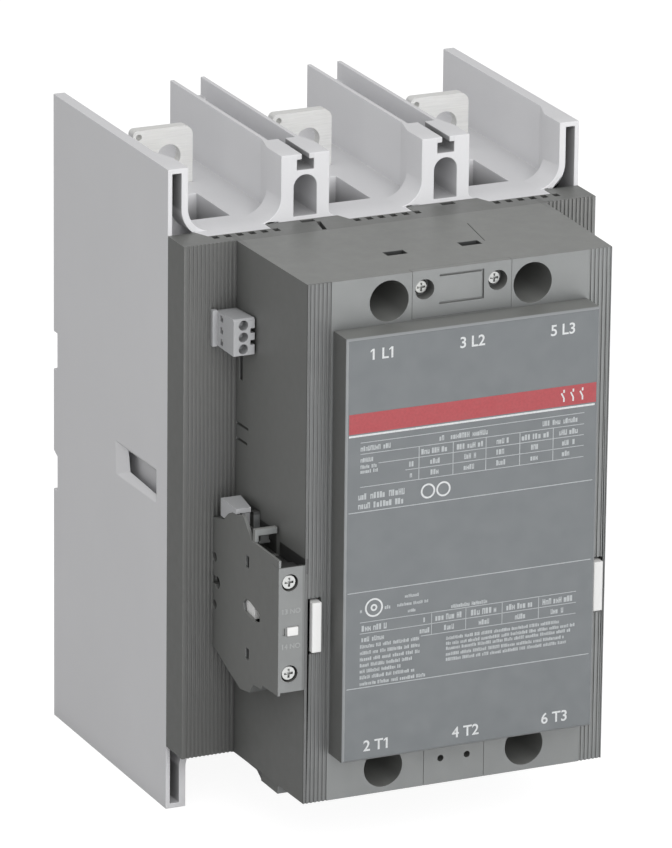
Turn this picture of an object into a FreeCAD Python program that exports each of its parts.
import FreeCAD, Part
import os
from FreeCAD import Vector as V

# Three-pole power contactor, screw mounted on a vertical panel.
# Frame: +X to the right seen from the front, +Z up, -Y out of the panel
# towards the viewer.  Origin: centre of the mounting plane.  Millimetres.
# "Rear" is towards the panel (+Y), "front" away from it (-Y).

os.makedirs("parts", exist_ok=True)

# ------------------------------------------------------- shared dimensions
HALF_W = 93.0          # half width of rear base and mid housing
WALL_H = 139.0         # half height of the side walls and pillars
BODY_H = 111.0         # half height of the housings, and channel floor level
Y_BASE = -121.0        # front plane of the rear base
Y_MID = -137.6         # front plane of the mid housing
Y_FRONT = -203.5       # front plane of the front housing
PITCH = 63.5           # terminal pitch
POLE_PITCH = 43.0      # contact pitch inside the arc chamber
PILLAR_X = PITCH / 2   # pillars stand between the terminals
TERMINAL_X = (-PITCH, 0.0, PITCH)
POLE_X = (-POLE_PITCH, 0.0, POLE_PITCH)
SCREW_X = 32.0         # housing screws
SCREW_Z = 100.0
RIB_PITCH = 1.8        # grip ribs
PIN_X = -77.6          # pins of the coil terminal
COIL_Z = (70.9, 75.9, 80.9)
SIDES = (-1, 1)
CORNERS = [(side, end) for side in SIDES for end in SIDES]


# ----------------------------------------------------------------- helpers
def point(axis, a, b, along):
    """Point from its place along an axis; a, b are the others in XYZ order."""
    return {"x": V(along, a, b), "y": V(a, along, b), "z": V(a, b, along)}[axis]


def box(x0, x1, y0, y1, z0, z1):
    """Box between two corners; each pair of limits may come in any order."""
    x0, x1 = sorted((x0, x1))
    y0, y1 = sorted((y0, y1))
    z0, z1 = sorted((z0, z1))
    return Part.makeBox(x1 - x0, y1 - y0, z1 - z0, V(x0, y0, z0))


def mid_box(x, half, y0, y1, z0, z1):
    """Box centred on x."""
    return box(x - half, x + half, y0, y1, z0, z1)


def cylinder(axis, a, b, radius, start, end):
    low, high = sorted((start, end))
    return Part.makeCylinder(radius, high - low, point(axis, a, b, low), point(axis, 0, 0, 1))


def outline(axis, points, along):
    """Closed polygon across an axis."""
    corners = [point(axis, a, b, along) for a, b in points]
    return Part.makePolygon(corners + corners[:1])


def prism(axis, points, start, end):
    low, high = sorted((start, end))
    return Part.Face(outline(axis, points, low)).extrude(point(axis, 0, 0, high - low))


def mirrored(shape, axis):
    return shape.mirror(V(0, 0, 0), point(axis, 0, 0, 1))


def pair(shape, axis):
    return [shape, mirrored(shape, axis)]


def edges_along_y(shape, keep=lambda x, z: True):
    """Straight edges parallel to Y whose x and z pass the keep test."""
    found = []
    for edge in shape.Edges:
        first, last = edge.Vertexes[0], edge.Vertexes[-1]
        parallel = abs(first.X - last.X) < 1e-6 and abs(first.Z - last.Z) < 1e-6
        if parallel and len(edge.Vertexes) == 2 and keep(first.X, first.Z):
            found.append(edge)
    return found


def edges_at_y(shape, y):
    return [edge for edge in shape.Edges if abs(edge.CenterOfMass.y - y) < 1e-6]


def rounded_box(x, half_width, z0, z1, radius, y0, y1):
    """Box centred on x with its four edges along Y rounded."""
    block = mid_box(x, half_width, y0, y1, z0, z1)
    return block.makeFillet(radius, edges_along_y(block))


def spring(x, z, y0, y1, coil_radius, wire_radius, turns):
    """Round wire compression spring along Y, ends inside [y0, y1]."""
    low, high = sorted((y0, y1))
    length = high - low - 2 * wire_radius
    helix = Part.makeHelix(length / turns, length, coil_radius)
    section = Part.Wire([Part.makeCircle(wire_radius, V(coil_radius, 0, 0), V(0, 1, 0))])
    coil = Part.Wire(helix).makePipeShell([section], True, True)
    coil.rotate(V(0, 0, 0), V(1, 0, 0), -90)
    coil.translate(V(x, low + wire_radius, z))
    return coil


def cross_screw(x, z, y_head, head_radius, head_height, shank_radius, y_end):
    """Cylinder-head screw along Y, head towards -Y, with a cross recess."""
    y_shank = y_head + head_height
    head = cylinder("y", x, z, head_radius, y_head, y_shank)
    head = head.makeFillet(0.5, edges_at_y(head, y_head))
    screw = head.fuse(cylinder("y", x, z, shank_radius, y_shank, y_end))
    arm_half, arm_length = head_radius * 0.16, head_radius * 0.62
    y_top, y_floor = y_head - 0.1, y_head + head_height * 0.45
    screw = screw.cut([mid_box(x, arm_half, y_top, y_floor, z - arm_length, z + arm_length),
                       mid_box(x, arm_length, y_top, y_floor, z - arm_half, z + arm_half)])
    return screw.removeSplitter()


def at_housing_screws(radius, y0, y1):
    """One cylinder on the axis of each of the four housing screws."""
    return [cylinder("y", side * SCREW_X, end * SCREW_Z, radius, y0, y1)
            for side, end in CORNERS]


def at_coil_pins(radius, y0, y1):
    return [cylinder("y", PIN_X, z, radius, y0, y1) for z in COIL_Z]


def floor_tongue(x, z_top):
    """Tongue of a channel floor, let into the mid housing."""
    y_tip = -127.4
    return prism("z", [(x - 17.2, Y_BASE), (x - 14.6, y_tip), (x + 13.8, y_tip),
                       (x + 13.8, Y_BASE)], 108.2, z_top)


def rib_grooves(first_x, count, half_width, y_face, depth):
    """Full-height grooves between the grip ribs, on both sides of a front face."""
    grooves = []
    for k in range(count):
        x = first_x + RIB_PITCH * k
        grooves += pair(mid_box(-x, half_width, y_face + depth, y_face - 1,
                                -BODY_H - 1, BODY_H + 1), "x")
    return grooves


# --------------------------------------------------------------- rear base
# One moulding: double side walls, two pillars between the terminal channels
# at the top and the bottom, channel floors and the magnet chamber.
SLOT_IN = 87.0         # slot between the two skins of a side wall
SLOT_OUT = 91.0
INNER = 84.0           # inner face of the side wall, front block
INNER_REAR = 87.8      # inner face of the side wall behind its front block
CHANNEL_R = 10.5       # lower corner radius of a channel at its front
PILLAR_R = 3.0         # and beside the right face of a pillar
FLOOR_T = 3.0          # channel skin at the front corner
PILLAR_HW = 10.85      # half width of the front block of a pillar
FIN_OUT = 7.95         # outer face of a fin from the pillar centre
FIN_IN = 6.05          # inner face of a fin from the pillar centre
MOUNT_Z = 242.0        # vertical spacing of the panel fixing holes
MOUNT_R = 3.3
BAR_Y = -49.0          # rear face of the vertical part of a terminal bar
BAR_T = 5.0            # thickness of a terminal bar
CHAMBER_X = 83         # half width of the magnet chamber
CHAMBER_Y = -5         # its rear face

# x of the left and right faces at the front, the same behind the front
# block, radius of the lower left corner
CHANNELS = [
    (-INNER, -PILLAR_X - PILLAR_HW, -INNER_REAR, -PILLAR_X - FIN_OUT, CHANNEL_R),
    (-PILLAR_X + PILLAR_HW, PILLAR_X - PILLAR_HW,
     -PILLAR_X + FIN_OUT, PILLAR_X - FIN_OUT, PILLAR_R),
    (PILLAR_X + PILLAR_HW, INNER, PILLAR_X + FIN_OUT, INNER_REAR, PILLAR_R),
]
# y, z of the bevelled window in the left outer skin
WINDOW_OUTER = [(-67, 6.6), (-110, 7.2), (-110, -7.3), (-68, -8.0)]
WINDOW_INNER = [(-76.5, 4.6), (-107.5, 5.0), (-107.5, -5.0), (-78.5, -4.0)]


def skin_slot():
    """Slot between the two skins of the left wall, open at the front."""
    slot = box(-SLOT_OUT, -SLOT_IN, -103, Y_BASE - 1, -WALL_H + 2.2, WALL_H - 2.2)
    return slot.fuse(box(-SLOT_OUT, -SLOT_IN, -5.5, -104, -107.5, 107.5))


def slot_sweep():
    """Widening of the slot where the inner skin sweeps into the channel floor."""
    sweep = box(-SLOT_IN - 0.5, -76.0, -108, Y_BASE - 1, 105.5, BODY_H + CHANNEL_R)
    return sweep.cut(cylinder("y", -INNER + CHANNEL_R, BODY_H + CHANNEL_R,
                              CHANNEL_R + FLOOR_T, -100, Y_BASE - 2))


def channel(left, right, left_rear, right_rear, left_radius):
    """U channel of one terminal: rounded lower corners, wider behind."""
    front = box(left, right, Y_BASE - 1, -103.5, BODY_H, WALL_H + 30)
    for wall_x, radius in ((left, left_radius), (right, CHANNEL_R)):
        corner = edges_along_y(
            front, lambda x, z: abs(x - wall_x) < 1e-6 and abs(z - BODY_H) < 1e-6)
        front = front.makeFillet(radius, corner)
    y_wide, y_narrow = -94.5, -106
    rear = prism("z", [(left_rear, 1), (left_rear, y_wide), (left, y_narrow),
                       (right, y_narrow), (right_rear, y_wide), (right_rear, 1)],
                 BODY_H, WALL_H + 2)
    return front.fuse(rear)


def pillar_hollows(x):
    """Space between the fins, arch, T-shaped slot and fixing hole of a pillar."""
    y_block = -96
    arch_half, arch_z, hollow_z = 5.15, 124.85, 112.6
    gap = mid_box(x, FIN_IN, -6, -97, hollow_z, WALL_H + 1)
    return gap.multiFuse([
        mid_box(x, FIN_IN, 1, -7, 131, WALL_H + 1),
        mid_box(x, arch_half, y_block, Y_BASE - 1, hollow_z, arch_z).fuse(
            cylinder("y", x, arch_z, arch_half, y_block, Y_BASE - 1)),
        mid_box(x, 1.6, y_block, Y_BASE - 1, 134, WALL_H + 1),
        mid_box(x, 3.75, y_block, Y_BASE - 1, 132.2, 136.6),
        cylinder("y", x, MOUNT_Z / 2, MOUNT_R, 1, -8)])


def rear_base():
    base = box(-HALF_W, HALF_W, 0, Y_BASE, -WALL_H, WALL_H)
    cuts = pair(skin_slot(), "x")
    sweep = slot_sweep()
    cuts += pair(sweep, "x") + pair(mirrored(sweep, "z"), "x")
    cuts.append(box(-CHAMBER_X, CHAMBER_X, CHAMBER_Y, Y_BASE - 1, -96, 96))
    for faces in CHANNELS:
        cuts += pair(channel(*faces), "z")
    for side in SIDES:
        cuts += pair(pillar_hollows(side * PILLAR_X), "z")
    # bores for the housing screws
    cuts += at_housing_screws(2.5, -100, Y_BASE - 1)
    # under each channel: a well, and the passage of the terminal bar
    for x in TERMINAL_X:
        cuts += pair(box(x - 16, x + 5.6, -70, -104.2, 95, BODY_H + 1), "z")
        cuts += pair(mid_box(x, 11.0, BAR_Y + 0.3, BAR_Y - BAR_T - 0.3, 95, BODY_H + 1), "z")
    window = Part.makeLoft([outline("x", WINDOW_OUTER, -HALF_W - 0.01),
                            outline("x", WINDOW_INNER, -SLOT_OUT + 0.01)], True)
    cuts += pair(window, "x")
    # notches in the rear edge of the outer skins
    cuts += pair(box(-HALF_W - 1, -SLOT_OUT, 1, -4, 18, 34.5), "x")
    cuts += pair(prism("x", [(1, -18.1), (-4, -20.5), (-4, -35.7), (1, -35.7)],
                       -HALF_W - 1, -SLOT_OUT), "x")
    base = base.cut(cuts)

    added = []
    for x in TERMINAL_X:
        added += pair(floor_tongue(x, BODY_H), "z")
    # guide ribs for the control board on the left chamber wall
    for z in (-60, 58):
        added.append(box(-CHAMBER_X, -76.1, CHAMBER_Y, -15, z, z + 3))
        added.append(box(-74.3, -71.5, CHAMBER_Y, -15, z, z + 3))
    return base.fuse(added).removeSplitter()


# ------------------------------------------------------------- mid housing
VENT_PITCH = 5.45
VENT_Z = 103.5         # inner end of the vent notches


def mid_housing():
    """Frame between base and arc chamber, full width, ribbed on its front."""
    housing = box(-HALF_W, HALF_W, Y_BASE, Y_MID, -BODY_H, BODY_H)
    housing = housing.cut([box(-89.5, 89.5, Y_BASE + 1, Y_MID + 3, -104.5, 104.5),
                           box(-62, 62, Y_BASE + 1, Y_MID - 1, -93.5, 93.5)])
    # guides for the ends of the contact carrier, and screw bosses
    guides = [box(side * 55.08, side * 66, Y_BASE, Y_MID, -16, 16) for side in SIDES]
    housing = housing.multiFuse(guides + at_housing_screws(6.5, Y_BASE, Y_MID))

    cuts = at_housing_screws(2.7, Y_BASE + 1, Y_MID - 1)
    # pockets for the floor tongues and the vent notches in front of them
    for x in TERMINAL_X:
        cuts += pair(floor_tongue(x, BODY_H + 1), "z")
        for k in range(6):
            cuts += pair(mid_box(x - 12.3 + VENT_PITCH * k, 1.3, -127.9, -131.6,
                                 VENT_Z, BODY_H + 1), "z")
    for side in SIDES:
        cuts += pair(mid_box(side * PILLAR_X, 3.0, -121.8, -125.0, VENT_Z, BODY_H + 1), "z")
    # small slanting slit beside the left pillar
    cuts.append(prism("z", [(-27.1, -125.8), (-28.9, -125.6), (-31.1, -137.0),
                            (-29.3, -137.2)], 108.6, BODY_H + 1))
    cuts += rib_grooves(first_x=71.2, count=12, half_width=0.45, y_face=Y_MID, depth=0.55)
    cuts += at_coil_pins(1.0, -130, Y_MID - 1)
    return housing.cut(cuts).removeSplitter()


# ----------------------------------------------------------- front housing
FH_REAR = 69.7         # half width at the rear edge
FH_FACE = 67.8         # half width at the front face (moulding draft)
FH_WALL = 2.6
PLATE_H = 90.5         # label cover half height
TOP_LEFT = -21.8       # edges of the top cover
TOP_RIGHT = 22.4
BOTTOM_HW = 13.6       # half width of the bottom cover
COVER_T = 3.2          # thickness of both covers
COVER_SCREW_X = 16.3
COVER_SCREW_Z = 103.0
PEG_X = 6.0            # pegs of the bottom cover
PEG_Z = -100.1
# y range and z range of the openings in the side walls for an auxiliary block
DRIVER_OPENING = (-152, -186, -38.6, -30.4)


def drafted_block(grow, y_rear=Y_MID, y_front=Y_FRONT, half_height=BODY_H):
    """Block with the drafted sides of the front housing, grown sideways."""
    rear, face = FH_REAR + grow, FH_FACE + grow
    return prism("z", [(-rear, y_rear), (rear, y_rear), (face, y_front), (-face, y_front)],
                 -half_height, half_height)


def front_housing():
    """Arc chamber cover with moulding draft."""
    housing = drafted_block(0)
    housing = housing.cut(drafted_block(-FH_WALL, Y_MID + 1, Y_FRONT + 3, 107.5))

    # phase partitions, interrupted for the contact carrier
    added = [box(side * 20.5, side * 22.5, Y_MID - 4, Y_FRONT + 2, end * 14, end * 89)
             for side, end in CORNERS]
    added += at_housing_screws(10.4, Y_MID, Y_FRONT + 2)
    for end in SIDES:
        # cross bars behind the covers
        added.append(box(-22, 22, Y_FRONT + 8.0, Y_FRONT + 15.0, end * 96, end * 108))
        added.append(box(-57, 57, Y_FRONT + 2.5, Y_FRONT + 6.2, end * 90.4, end * 108))
    for side in SIDES:
        # feet on the underside
        added.append(box(side * 68.2, side * 61, -162.3, -178.9, -BODY_H + 1, -115.2))
    housing = housing.multiFuse(added)

    # wells and holes for the housing screws
    cuts = at_housing_screws(8.6, -141.2, Y_FRONT - 1)
    cuts += at_housing_screws(2.7, Y_MID + 1, -142)
    # pockets for the top and the bottom centre covers
    y_pocket = Y_FRONT + COVER_T
    cuts.append(box(TOP_LEFT - 0.1, TOP_RIGHT + 0.1, y_pocket, Y_FRONT - 1,
                    PLATE_H + 0.3, BODY_H + 1))
    cuts.append(mid_box(0, BOTTOM_HW + 0.1, y_pocket, Y_FRONT - 1,
                        -PLATE_H - 0.3, -BODY_H - 1))
    for side in SIDES:
        x = side * COVER_SCREW_X
        cuts.append(cylinder("y", x, COVER_SCREW_Z, 5.6, Y_FRONT + 8.0, Y_FRONT + 1))
        cuts.append(cylinder("y", x, COVER_SCREW_Z, 1.5, Y_FRONT + 14.0, Y_FRONT + 7))
        cuts.append(cylinder("y", side * PEG_X, PEG_Z, 2.6, Y_FRONT + 7.2, Y_FRONT + 1))
    # windows for the couplers
    cuts += pair(box(-66.4, -60.8, Y_FRONT + 16, Y_FRONT - 1, -46.0, -22.3), "x")
    cuts += pair(box(-72, -60, *DRIVER_OPENING), "x")
    # two slots and a fine slanting line in the top face
    cuts.append(box(-21.8, -12.8, -174.4, -179.8, 106.5, BODY_H + 1))
    cuts.append(box(11.8, 20.8, -174.0, -179.4, 106.5, BODY_H + 1))
    cuts.append(prism("z", [(26.9, -152), (27.4, -152), (23.6, -176), (23.1, -176)],
                      BODY_H - 0.35, BODY_H + 1))
    cuts += rib_grooves(first_x=57.9, count=6, half_width=0.42, y_face=Y_FRONT, depth=0.5)
    # shallow recesses near the rear edge of both sides
    for side in SIDES:
        cuts.append(box(side * 67.9, side * 71, -140.9, -143.7, 53, 64.0))
        cuts.append(box(side * 68.0, side * 71, -138.4, -149.4, 33.0, 34.1))
        cuts.append(box(side * 68.0, side * 71, -138.4, -148.4, 26.4, 27.5))
    return housing.cut(cuts).removeSplitter()


# --------------------------------------- covers on the front face, screws
def top_cover():
    screws_x = [side * COVER_SCREW_X for side in SIDES]
    cover = box(TOP_LEFT, TOP_RIGHT, Y_FRONT + COVER_T, Y_FRONT, PLATE_H + 0.4, BODY_H)
    cover = cover.multiFuse([cylinder("y", x, COVER_SCREW_Z, 5.5, Y_FRONT + 8.0, Y_FRONT + 2)
                             for x in screws_x])
    cuts = []
    for x in screws_x:
        cuts.append(cylinder("y", x, COVER_SCREW_Z, 4.2, Y_FRONT + 6.0, Y_FRONT - 1))
        cuts.append(cylinder("y", x, COVER_SCREW_Z, 1.6, Y_FRONT + 9, Y_FRONT + 5))
    # field in the middle, grooved along its top, bottom and right edges
    left, right, low, high, groove = -9.7, 10.1, 96.0, 108.6, 0.9
    y_groove = Y_FRONT + groove
    cuts += [box(left, right, Y_FRONT, y_groove, high - groove, high),
             box(left, right, Y_FRONT, y_groove, low, low + groove),
             box(right - groove, right, Y_FRONT, y_groove, low, high)]
    return cover.cut(cuts).removeSplitter()


def bottom_cover():
    cover = mid_box(0, BOTTOM_HW, Y_FRONT + COVER_T, Y_FRONT, -BODY_H, -PLATE_H - 0.4)
    cover = cover.multiFuse([cylinder("y", side * PEG_X, PEG_Z, 2.5, Y_FRONT + 7.0, Y_FRONT + 2)
                             for side in SIDES])
    return cover.cut([cylinder("y", side * PEG_X, PEG_Z, 1.35, Y_FRONT + 5, Y_FRONT - 1)
                      for side in SIDES]).removeSplitter()


def cover_screws():
    return [cross_screw(side * COVER_SCREW_X, COVER_SCREW_Z, y_head=Y_FRONT + 3.5,
                        head_radius=2.9, head_height=2.5, shank_radius=1.5,
                        y_end=Y_FRONT + 13.5) for side in SIDES]


def housing_screws():
    return [cross_screw(side * SCREW_X, end * SCREW_Z, y_head=-145.4, head_radius=4.3,
                        head_height=4.2, shank_radius=2.5, y_end=-104)
            for side, end in CORNERS]


def label_cover():
    """Shallow box, open behind, with a bevelled front edge and inner ribs."""
    half_w, y_face, wall = 56.5, -216.6, 2.2
    cover = box(-half_w, half_w, Y_FRONT, y_face, -PLATE_H, PLATE_H)
    cover = cover.makeChamfer(0.9, edges_at_y(cover, y_face))
    cover = cover.cut(box(-half_w + wall, half_w - wall, Y_FRONT + 1, y_face + wall,
                          -PLATE_H + wall, PLATE_H - wall))
    ribs = [mid_box(side * 30, 1, Y_FRONT, y_face + 2, -70, 70) for side in SIDES]
    ribs += [box(-50, 50, Y_FRONT, y_face + 2, end * 60 - 1, end * 60 + 1) for end in SIDES]
    return cover.multiFuse(ribs).removeSplitter()


# ----------------------------------------------------------- terminal bars
BAR_TOP = 135.5        # upper end of a line bar
BAR_HW = 10.7          # half width of the terminal pad
BAR_HOLE_Z = 123.0     # terminal bolt hole
BAR_HOLE_R = 5.25
CONTACT_HW = 9         # half width of bars and bridges at the contacts
TIP_SEAT_Y = -124      # front face of a bar under its tip
TIP_T = 3


def line_bar(terminal_x, pole_x):
    """Copper bar: pad with a bolt hole in its channel, a bend forward inside
    the chamber, and a turned-down end that carries the tip."""
    y_front = BAR_Y - BAR_T
    pad = mid_box(terminal_x, BAR_HW, BAR_Y, y_front, 76, BAR_TOP)
    pad = pad.makeFillet(4.0, edges_along_y(
        pad, lambda x, z: abs(z - BAR_TOP) < 1e-6 and x > terminal_x))
    ear = box(terminal_x - 16.2, terminal_x - BAR_HW + 1, BAR_Y, y_front, 115.5, BAR_TOP)
    ear = ear.makeFillet(2.0, edges_along_y(ear, lambda x, z: x < terminal_x - 14))
    tip_left, tip_right = pole_x - CONTACT_HW, pole_x + CONTACT_HW
    left = min(terminal_x - BAR_HW, tip_left)
    right = max(terminal_x + BAR_HW, tip_right)
    forward = prism("z", [(left, BAR_Y), (right, BAR_Y), (right, -72), (tip_right, -92),
                          (tip_right, TIP_SEAT_Y), (tip_left, TIP_SEAT_Y),
                          (tip_left, -92), (left, -72)], 76, 81)
    down = mid_box(pole_x, CONTACT_HW, TIP_SEAT_Y + BAR_T, TIP_SEAT_Y, 45, 81)
    bar = pad.multiFuse([ear, forward, down])
    bar = bar.cut([cylinder("y", terminal_x, BAR_HOLE_Z, BAR_HOLE_R, 0, -80),
                   cylinder("y", terminal_x - 13.6, 132.6, 1.3, 0, -80)])
    return bar.removeSplitter()


def contact_tips(y0, y1):
    tips = []
    for x in POLE_X:
        tips += pair(rounded_box(x, 7.5, 46.5, 60.5, 2.0, y0, y1), "z")
    return tips


# --------------------------------------------------- moving contact system
BRIDGE_Y = -138.0      # rear face of the bridges
BRIDGE_FRONT = BRIDGE_Y - 4.5
PIN_Y = -90            # armature pin
PIN_R = 3.0
ARMATURE_Y = -94       # front face of the armature


def bridge(x):
    """Contact bridge with bevelled ends and a spring seat in its front."""
    bar = prism("x", [(BRIDGE_FRONT, -57), (BRIDGE_FRONT, 57), (BRIDGE_Y - 3.2, 62),
                      (BRIDGE_Y, 62), (BRIDGE_Y, -62), (BRIDGE_Y - 3.2, -62)],
                x - CONTACT_HW, x + CONTACT_HW)
    seat = cylinder("y", x, 0, 2.2, BRIDGE_FRONT + 1.2, BRIDGE_Y - 6)
    return bar.cut(seat).removeSplitter()


def contact_springs():
    return [spring(x, 0, BRIDGE_Y - 4.7, -159.8, coil_radius=5.2, wire_radius=0.9, turns=5)
            for x in POLE_X]


def contact_carrier():
    carrier = box(-55, 55, -104, -165, -11, 11)
    # block over the armature, cheeks around it and arms to the couplers
    carrier = carrier.multiFuse([
        box(-40, 40, ARMATURE_Y, -104, -18, 18),
        box(-8, 8, -84, -104, 20.1, 25),
        box(-8, 8, -84, -104, -20.1, -25),
        box(-8, 8, -96, -104, -25, 25),
        box(-64, -54, -151, -160, -38, 11),
        box(54, 64, -151, -160, -38, 11)])
    cuts = []
    for x in POLE_X:
        # window for bridge and spring, and an opening behind it
        cuts.append(mid_box(x, CONTACT_HW + 0.1, BRIDGE_Y, -160, -12, 12))
        cuts.append(mid_box(x, 6, -109, -131, -12, 12))
    for side in SIDES:
        cuts.append(box(side * 13.5, side * 30, -109, -156, -12, 12))
        cuts.append(box(side * 24, side * 40.1, -93, -101, -12, 12))
    cuts.append(cylinder("z", 0, PIN_Y, PIN_R, -26, 26))
    return carrier.cut(cuts).removeSplitter()


def coupler(side):
    """Coupler at a carrier end; its pad shows in the front face."""
    x_in, y_face = side * 61.4, -206
    pad = box(x_in, side * 65.6, y_face, -196, -44.9, -23.5)
    pad = pad.makeFillet(0.5, edges_at_y(pad, y_face))
    stem = box(x_in, side * 64.4, -197, -160, -39.5, -29)
    recess = box(side * 62.9, side * 66, -164, -182, -38.2, -30.8)
    return pad.fuse(stem).cut(recess).removeSplitter()


# ----------------------------------------------------------- electromagnet
CORE_X = 45            # half width of core and armature
CORE_Z = 20            # half height of core and armature
LEG_IN = 23            # inner face of a core leg
LEG_X = (LEG_IN + CORE_X) / 2
YOKE_Y = -27           # front face of the yoke
TUBE_HW = 12.3         # bobbin tube
TUBE_HZ = 21.3
# x, y of the core rivets
RIVETS = [(-LEG_X, -18), (0, -18), (LEG_X, -18), (-LEG_X, -60), (LEG_X, -60)]


def armature():
    block = box(-CORE_X, CORE_X, -76.05, ARMATURE_Y, -CORE_Z, CORE_Z)
    return block.cut([cylinder("z", 0, PIN_Y, PIN_R, -21, 21)]).removeSplitter()


def core_rivets(half_height):
    return [cylinder("z", x, y, 2.4, -half_height, half_height) for x, y in RIVETS]


def magnet_core():
    """U core: yoke at the rear, two legs pointing forward."""
    core = box(-CORE_X, CORE_X, -9, YOKE_Y, -CORE_Z, CORE_Z)
    core = core.multiFuse([box(side * LEG_IN, side * CORE_X, YOKE_Y, -68, -CORE_Z, CORE_Z)
                           for side in SIDES])
    return core.cut(core_rivets(21)).removeSplitter()


def core_pads():
    return [box(side * 24, side * 44, CHAMBER_Y, -9, end * 5, end * 18)
            for side, end in CORNERS]


def core_bracket(end):
    plate = box(-14, 14, CHAMBER_Y, -26, end * 20.05, end * 22.05)
    return plate.fuse(box(-14, 14, CHAMBER_Y, -7, end * 22.05, end * 36)).removeSplitter()


def bracket_screws():
    return [cross_screw(0, end * 30, y_head=-9.6, head_radius=3.6, head_height=2.6,
                        shank_radius=1.0, y_end=-7.0) for end in SIDES]


def bobbin(x):
    tube = mid_box(x, TUBE_HW, -27.2, -64, -TUBE_HZ, TUBE_HZ)
    flanges = [mid_box(x, 21.5, -27.2, -29, -31, 31), mid_box(x, 21.5, -62.2, -64, -31, 31)]
    bore = mid_box(x, 11.15, -20, -70, -20.15, 20.15)
    return tube.multiFuse(flanges).cut(bore).removeSplitter()


def winding(x):
    block = rounded_box(x, 20.8, -30, 30, 6.0, -29, -62.2)
    return block.cut(mid_box(x, TUBE_HW, -20, -70, -TUBE_HZ, TUBE_HZ)).removeSplitter()


def return_springs():
    return [spring(0, end * 10.5, -27.1, -75.9, coil_radius=7.0, wire_radius=1.1, turns=8)
            for end in SIDES]


# ----------------------------------------------------------- control board
BOARD_X = -74.4        # right face of the board, which carries the parts
# y, z outline
BOARD_OUTLINE = [(-5, -66), (-112, -66), (-112, 68), (-118, 68), (-118, 88), (-96, 88),
                 (-96, 70), (-5, 70)]
# y, z, radius, height
ROUND_PARTS = [(-30, 30, 6.0, 7.5), (-30, 44, 4.0, 7.0), (-50, 38, 5.0, 8.0),
               (-50, 52, 3.5, 6.0)]
# y range, z range, height
BOX_PARTS = [(-20, -44, -10, 14, 9), (-52, -70, -6, 12, 7), (-78, -100, 20, 44, 8),
             (-24, -40, -50, -30, 6), (-50, -78, -56, -34, 3), (-88, -104, -50, -20, 5),
             (-84, -92, 0, 10, 2.5), (-96, -104, 0, 10, 2.5)]


def board_parts():
    parts = [cylinder("x", y, z, radius, BOARD_X, BOARD_X + height)
             for y, z, radius, height in ROUND_PARTS]
    parts += [box(BOARD_X, BOARD_X + height, y0, y1, z0, z1)
              for y0, y1, z0, z1, height in BOX_PARTS]
    # socket for the pins of the coil terminal, on the left face
    socket = box(-80, -76, -106, -116, 69.5, 86.5)
    return parts + [socket.cut(at_coil_pins(0.8, -108, -117))]


def coil_leads():
    return [cylinder("x", -45.5, z, 0.9, BOARD_X, -54.8) for z in (-16, 17)]


# -------------------------------------------------- plug-in coil terminal
COIL_LEFT = -79.2
COIL_RIGHT = -69.8
COIL_Y = -156.4        # front face
WIRE_X = -74.8         # wire entries


def coil_clamps():
    return [mid_box(WIRE_X, 1.5, COIL_Y + 5.2, COIL_Y + 4.6, z - 1.4, z + 1.4)
            for z in COIL_Z]


def coil_terminal():
    """Three-pole terminal plugged into the mid housing."""
    block = prism("x", [(Y_MID, 68.2), (COIL_Y, 68.2), (COIL_Y, 83.0), (COIL_Y + 0.9, 83.8),
                        (Y_MID, 82.6)], COIL_LEFT, COIL_RIGHT)
    cuts = []
    for z in COIL_Z:
        # wire entry with the clamp at its bottom, and the slot in the left side
        cuts.append(cylinder("y", WIRE_X, z, 2.05, COIL_Y + 4.6, COIL_Y - 1))
        cuts.append(box(COIL_LEFT - 1, COIL_LEFT + 1.5, -142.7, -145.5, z - 1.5, z + 1.1))
    for z in (73.4, 78.4):
        # gaps between the three release levers at the right front edge
        cuts.append(box(COIL_RIGHT - 1.9, COIL_RIGHT + 1, -146, COIL_Y - 1, z - 0.95, z + 0.95))
    for z in COIL_Z:
        cuts.append(box(COIL_RIGHT - 0.7, COIL_RIGHT + 1, -146, COIL_Y + 2.4,
                        z - 1.55, z + 1.55))
    block = block.cut(cuts)
    block = block.cut(at_coil_pins(0.7, Y_MID - 6, Y_MID + 4))
    flange = box(-81.2, COIL_LEFT, Y_MID, Y_MID - 2.4, 67.8, 83.3)
    return block.fuse(flange).removeSplitter().cut(coil_clamps())


# ------------------------------------- auxiliary contact on the left side
AUX_LEFT = -79.6
AUX_WALL = AUX_LEFT + 1.1    # inner face of the left cheek
AUX_FRONT_Y = -197.5         # rear face of the front cover
AUX_GROW = 0.05              # clearance to the front housing
SPRING_X = -74.7             # axis of the auxiliary spring
SPRING_Z = -34.55
AUX_SCREWS = [(-74.6, -14.1), (-74.5, -53.3)]    # x, z
# y, z outline of the block
AUX_OUTLINE = [
    (Y_MID, -6.5), (-148.8, -3.8), (-152.8, -0.3), (-157.0, 1.6), (-161.4, 2.1),
    (-167.0, 3.8), (-168.6, 3.4), (-172.3, -0.3), (-176.4, -4.1), (Y_FRONT, -4.1),
    (Y_FRONT, -62.4), (-188.5, -62.9), (-186.6, -65.0), (-179, -65.8), (-175.4, -70.3),
    (-166, -72.0), (-150.7, -66.7), (-141.5, -63.2), (Y_MID, -62.6)]
# y, z outline of the window that shows the driver from the side
AUX_WINDOW = [(-168.6, -33.4), (-170.6, -31.1), (-175.2, -30.9), (-185.0, -33.2),
              (-185.0, -36.4), (-180.6, -38.0), (-169.6, -36.6)]


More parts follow.
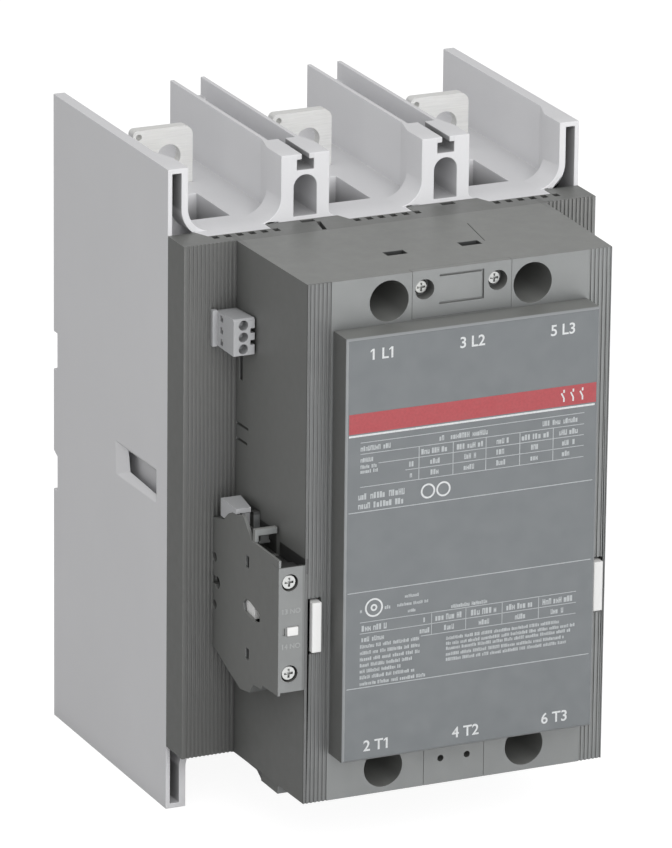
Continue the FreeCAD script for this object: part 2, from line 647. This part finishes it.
def aux_body():
    body = prism("x", AUX_OUTLINE, AUX_LEFT, -66)
    body = body.cut(drafted_block(AUX_GROW))
    cuts = [
        # space of the front cover
        box(AUX_LEFT - 1, -60, Y_FRONT - 1, AUX_FRONT_Y, -63, -3.6),
        # recess open at the top
        box(AUX_WALL, -60, -179.6, Y_FRONT - 1, -7.4, 3),
        box(AUX_WALL, -60, -192.0, -198.0, -9.6, 3),
        box(AUX_LEFT + 1.5, -60, -161.2, -192.0, -11.0, 6),
        # small step at the bottom front
        box(AUX_WALL, -60, -190.0, Y_FRONT - 1, -64, -61.2),
        # inner chamber
        box(AUX_LEFT + 1.2, -70.9, -150, -193.0, -58, -12.5),
        box(AUX_LEFT + 1.2, -70.9, -193.0, -197.6, -58, -10.8),
        prism("x", AUX_WINDOW, AUX_LEFT - 1, AUX_LEFT + 1.3),
        # two latch slots in the left side
        box(AUX_LEFT - 1, AUX_LEFT + 1.3, -170.9, -174.1, -17.2, -12.0),
        box(AUX_LEFT - 1, AUX_LEFT + 1.3, -171.1, -174.3, -56.9, -51.9),
        # opening towards the front housing for the driver
        box(-71.5, -66, *DRIVER_OPENING),
        # groove for the release slide
        box(-78.1, -71.9, -157.9, -162.0, -6.0, 3)]
    # notches in the rear edge
    for y, z, radius in ((-139.6, -23.1, 2.0), (-142.4, -33.4, 2.6), (-139.6, -43.8, 2.0)):
        cuts.append(cylinder("x", y, z, radius, AUX_LEFT - 1, AUX_LEFT + 3.4))
    cuts.append(box(AUX_LEFT - 1, AUX_LEFT + 3.4, Y_MID + 0.5, -142.4, -34.9, -31.2))
    # thin cheek on the left, in front of the open recess
    cheek = box(AUX_LEFT, AUX_WALL, Y_FRONT, -197.4, -7.35, -4.1)
    return body.cut(cuts).fuse(cheek).removeSplitter()


def aux_front():
    cover = box(AUX_LEFT, -66, Y_FRONT, AUX_FRONT_Y, -62.4, -7.4)
    cover = cover.cut(drafted_block(AUX_GROW))
    cuts = []
    for x, z in AUX_SCREWS:
        cuts.append(cylinder("y", x, z, 3.6, -198.6, Y_FRONT - 1))
        cuts.append(cylinder("y", x, z, 1.7, -197, -199))
    # slot for the driver nose, steps at top and bottom, small mark on the left
    cuts += [box(-75.9, -70.7, -190, Y_FRONT - 1, -36.95, -33.0),
             box(AUX_WALL, -60, -190.0, -201.9, -9.6, -6),
             box(AUX_WALL, -60, -190.0, Y_FRONT - 1, -64, -61.2),
             box(-77.6, -76.6, Y_FRONT + 0.6, Y_FRONT - 1, -36.6, -33.4)]
    return cover.cut(cuts).removeSplitter()


def aux_screws():
    return [cross_screw(x, z, y_head=-202.6, head_radius=3.15, head_height=2.6,
                        shank_radius=1.5, y_end=-194.2) for x, z in AUX_SCREWS]


def aux_clamps():
    return [mid_box(x, 3.4, -197.4, -194.2, z - 3.2, z + 3.2).cut(
        cylinder("y", x, z, 1.5, -190, -200)) for x, z in AUX_SCREWS]


def aux_fixed_contacts():
    """Strips from the clamps back to the switching gap."""
    left, right, y_end, y_clamp = -76.6, -73.6, -172.0, -194.2
    strips = []
    for sign, (_, screw_z) in zip((1, -1), AUX_SCREWS):
        z = screw_z - sign
        strip = box(left, right, y_clamp + 1, y_clamp, z - 2.5, z + 2.5)
        strip = strip.fuse(box(left, right, y_end, y_clamp, z - 0.5, z + 0.5))
        strip = strip.fuse(box(left, right, y_end, y_end - 1, z, -35 + sign * 8.0))
        strips.append(strip.removeSplitter())
    return strips


def aux_driver():
    """Driver of the auxiliary switch; its nose shows in the front."""
    driver = box(-75.8, -70.95, Y_FRONT - 0.6, -186, -36.8, -33.15)
    driver = driver.multiFuse([box(-78.2, -71.0, -186, -160, -38.2, -30.9),
                               box(-71.2, -62.95, -166.1, -179.9, -38.1, -30.9)])
    # gap for the bridge and bore for the spring
    driver = driver.cut([box(-78.3, -71.1, -182.05, -177.0, -39, -30),
                         cylinder("y", SPRING_X, SPRING_Z, 2.7, -172.0, -159)])
    return driver.fuse(box(-72.4, -71.0, -183, -176, -38.1, -30.95)).removeSplitter()


def aux_hook():
    """Release hook on top of the auxiliary block, with its leg on the left."""
    y_rear, y_front = -145.4, -161.0
    hook = prism("z", [(AUX_LEFT, y_rear), (-70.6, y_rear), (-73.0, y_front),
                       (AUX_LEFT, y_front)], 2.3, 4.4)
    hook = hook.fuse(box(AUX_LEFT, -78.0, y_rear, y_front, -3.3, 4.4))
    # the block, raised by a small clearance
    raised = [(y, z + 0.12) for y, z in AUX_OUTLINE[:-1]] + [(-140, -62.6)]
    hook = hook.cut(prism("x", raised, AUX_LEFT - 1, -60))
    return hook.fuse(box(-76.9, -73.4, -158.9, -160.9, -4.4, 2.4)).removeSplitter()


def aux_catch():
    """Slide bar in its groove, with the latch at the front end."""
    y_latch = -176.95
    catch = box(-77.0, -72.0, -158.0, -178.0, -5.4, -4.4)
    return catch.multiFuse([
        box(-76.4, -72.6, y_latch, -178.0, -5.4, -1.0),
        box(AUX_LEFT + 0.3, -69.4, y_latch, -179.3, -1.4, 1.25),
        box(AUX_LEFT + 0.3, AUX_LEFT + 1.9, y_latch, -179.3, -4.05, 1.25)]).removeSplitter()


# -------------------------------------------------------------- arc chutes
def chute_frame(x):
    frame = mid_box(x, 18.4, -146, -197, 63, 89)
    frame = frame.cut([mid_box(x, 16.9, -145, -195.5, 62, 87.5)])
    vents = [box(x - 12 + 8 * k, x - 8 + 8 * k, -150, -190, 86, 90) for k in range(4)]
    return frame.cut(vents).removeSplitter()


def chute_plates(x):
    """Ten plates, one in front of the other, with a notch towards the contacts."""
    half, z_edge = 16.85, 64
    shape = [(x - half, z_edge), (x - 5, z_edge), (x, 76), (x + 5, z_edge),
             (x + half, z_edge), (x + half, 86.6), (x - half, 86.6)]
    plates = []
    for k in range(10):
        y = -149.5 - 4.4 * k
        plates.append(prism("y", shape, y, y - 1.2))
    return plates


# ------------------------------------------------------------------ output
def save(name, shape):
    """Write one piece; a list of shapes becomes a compound."""
    if isinstance(shape, list):
        shape = Part.makeCompound(shape)
    shape.exportStep("parts/" + name + ".step")


for build in (rear_base, mid_housing, front_housing, top_cover, bottom_cover, cover_screws,
              housing_screws, label_cover, contact_springs, contact_carrier, armature,
              magnet_core, core_pads, bracket_screws, return_springs, board_parts,
              coil_leads, coil_clamps, coil_terminal, aux_body, aux_front, aux_screws,
              aux_clamps, aux_fixed_contacts, aux_driver, aux_hook, aux_catch):
    save(build.__name__, build())

for n, (terminal_x, pole_x) in enumerate(zip(TERMINAL_X, POLE_X), 1):
    bar = line_bar(terminal_x, pole_x)
    save("line_bar_%d" % n, bar)
    save("load_bar_%d" % n, mirrored(bar, "z"))
    save("bridge_%d" % n, bridge(pole_x))
save("fixed_tips", contact_tips(TIP_SEAT_Y, TIP_SEAT_Y - TIP_T))
save("moving_tips", contact_tips(BRIDGE_Y, BRIDGE_Y + 2.95))

for name, side in (("left", -1), ("right", 1)):
    save("coupler_" + name, coupler(side))
    save("bobbin_" + name, bobbin(side * LEG_X))
    save("winding_" + name, winding(side * LEG_X))

save("armature_pin", cylinder("z", 0, PIN_Y, PIN_R, -25, 25))
save("core_rivets", core_rivets(CORE_Z))
save("core_brackets", [core_bracket(end) for end in SIDES])
save("control_board", prism("x", BOARD_OUTLINE, -76, BOARD_X))
save("coil_pins", at_coil_pins(0.7, Y_MID - 6, -109))
save("aux_bridge", box(-76.6, -73.6, -181.05, -182.05, -46.0, -24.0))
save("aux_spring", spring(SPRING_X, SPRING_Z, -150.3, -171.7,
                          coil_radius=2.0, wire_radius=0.35, turns=8))

chutes = {"frames": [chute_frame(x) for x in POLE_X],
          "plates": [plate for x in POLE_X for plate in chute_plates(x)]}
for kind, upper in chutes.items():
    save("chute_" + kind + "_upper", upper)
    save("chute_" + kind + "_lower", [mirrored(shape, "z") for shape in upper])
